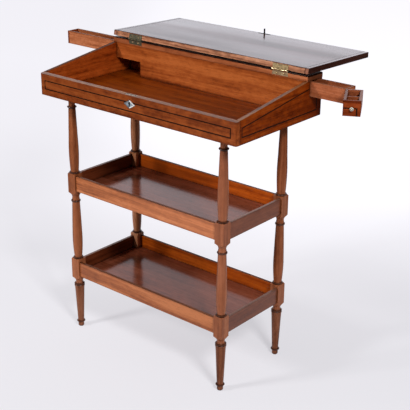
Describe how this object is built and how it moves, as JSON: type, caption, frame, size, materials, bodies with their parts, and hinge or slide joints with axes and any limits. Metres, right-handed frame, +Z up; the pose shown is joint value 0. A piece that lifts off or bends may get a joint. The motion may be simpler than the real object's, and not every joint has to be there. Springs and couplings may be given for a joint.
{
  "type": "slant-front writing table",
  "caption": "Small slant-top writing table with a folding lid, side drawers, a swivelling end box, turned legs and open trays.",
  "frame": {"origin": "on the floor under the middle of the whole, with the lid folded back and both side drawers pulled out", "axes": "+X to the right seen from the front, +Y to the back, +Z up"},
  "size_m": [1.024, 0.536, 0.7997],
  "materials": {
    "case_wood": "waxed mahogany, satin",
    "inner_wood": "dark unpolished mahogany",
    "partition_wood": "pale unpolished mahogany",
    "top_wood": "polished mahogany, glossy",
    "drawer_wood": "worn oak-coloured mahogany",
    "leg_wood": "waxed turned mahogany",
    "rail_wood": "waxed mahogany, satin",
    "tray_wood": "polished mahogany, glossy",
    "string_wood": "ebonised string, satin",
    "pale_metal": "worn silvered plate",
    "blued_steel": "blued steel",
    "old_steel": "aged steel",
    "hinge_brass": "aged brass",
    "knob_bone": "polished bone"
  },
  "bodies": {
    "desk": {"front_panel": "case_wood", "left_side": "case_wood", "right_side": "case_wood", "bottom_board": "inner_wood", "partition": "partition_wood", "back_panel": "case_wood", "fixed_top": "top_wood", "runner_board": "partition_wood", "drawer_stop": "partition_wood", "pigeonhole_end": "partition_wood", "front_string": "string_wood", "left_string": "string_wood", "right_string": "string_wood", "lozenge_rim_plate": "pale_metal", "lozenge_plate": "blued_steel", "lock_case": "old_steel", "hinge_leaf_fixed": "hinge_brass", "hinge_pin": "hinge_brass", "hinge_screw_fixed": "hinge_brass", "leg_front_left": "leg_wood", "leg_front_right": "leg_wood", "leg_back_left": "leg_wood", "leg_back_right": "leg_wood", "lower_tray_board": "tray_wood", "lower_rails_long": "rail_wood", "lower_rails_short": "rail_wood", "upper_tray_board": "tray_wood", "upper_rails_long": "rail_wood", "upper_rails_short": "rail_wood"},
    "lid": {"lid_panel": "top_wood", "lid_clamp_left": "top_wood", "lid_clamp_right": "top_wood", "hinge_leaf_lid": "hinge_brass", "hinge_screw_lid": "hinge_brass", "link_plate": "old_steel"},
    "left_drawer": {"left_drawer_face": "case_wood", "left_drawer_front_wall": "drawer_wood", "left_drawer_rear_wall": "drawer_wood", "left_drawer_end": "drawer_wood", "left_drawer_bottom": "drawer_wood", "left_drawer_string": "string_wood", "left_drawer_knob": "knob_bone"},
    "right_drawer": {"right_drawer_front_wall": "drawer_wood", "right_drawer_rear_wall": "drawer_wood", "right_drawer_inner_end": "drawer_wood", "right_drawer_outer_end": "drawer_wood", "right_drawer_bottom": "drawer_wood", "end_box_pin": "hinge_brass"},
    "end_box": {"end_box_front_wall": "drawer_wood", "end_box_rear_wall": "drawer_wood", "end_box_inner_wall": "drawer_wood", "end_box_cross_wall": "drawer_wood", "end_box_face": "case_wood", "end_box_bottom": "drawer_wood", "end_box_string": "string_wood", "end_box_knob": "knob_bone"},
    "lock_bolt": {"lock_bolt": "old_steel"}
  },
  "joints": [
    {"name": "lid_hinge", "type": "hinge", "parent": "desk", "child": "lid", "pos_m": [0.01305, -0.00138, 0.777], "axis": [1, 0, 0], "range_deg": [0, 189.5]},
    {"name": "left_drawer_slide", "type": "slide", "parent": "desk", "child": "left_drawer", "axis": [1, 0, 0], "range_m": [0, 0.196]},
    {"name": "right_drawer_slide", "type": "slide", "parent": "desk", "child": "right_drawer", "axis": [-1, 0, 0], "range_m": [0, 0.096]},
    {"name": "end_box_swivel", "type": "hinge", "parent": "right_drawer", "child": "end_box", "pos_m": [0.43305, 0.01291, 0.7423], "axis": [0, 0, 1], "range_deg": [-29, 61]},
    {"name": "lock_bolt_slide", "type": "slide", "parent": "desk", "child": "lock_bolt", "axis": [1, 0, 0], "range_m": [0, 0.0065]}
  ]
}
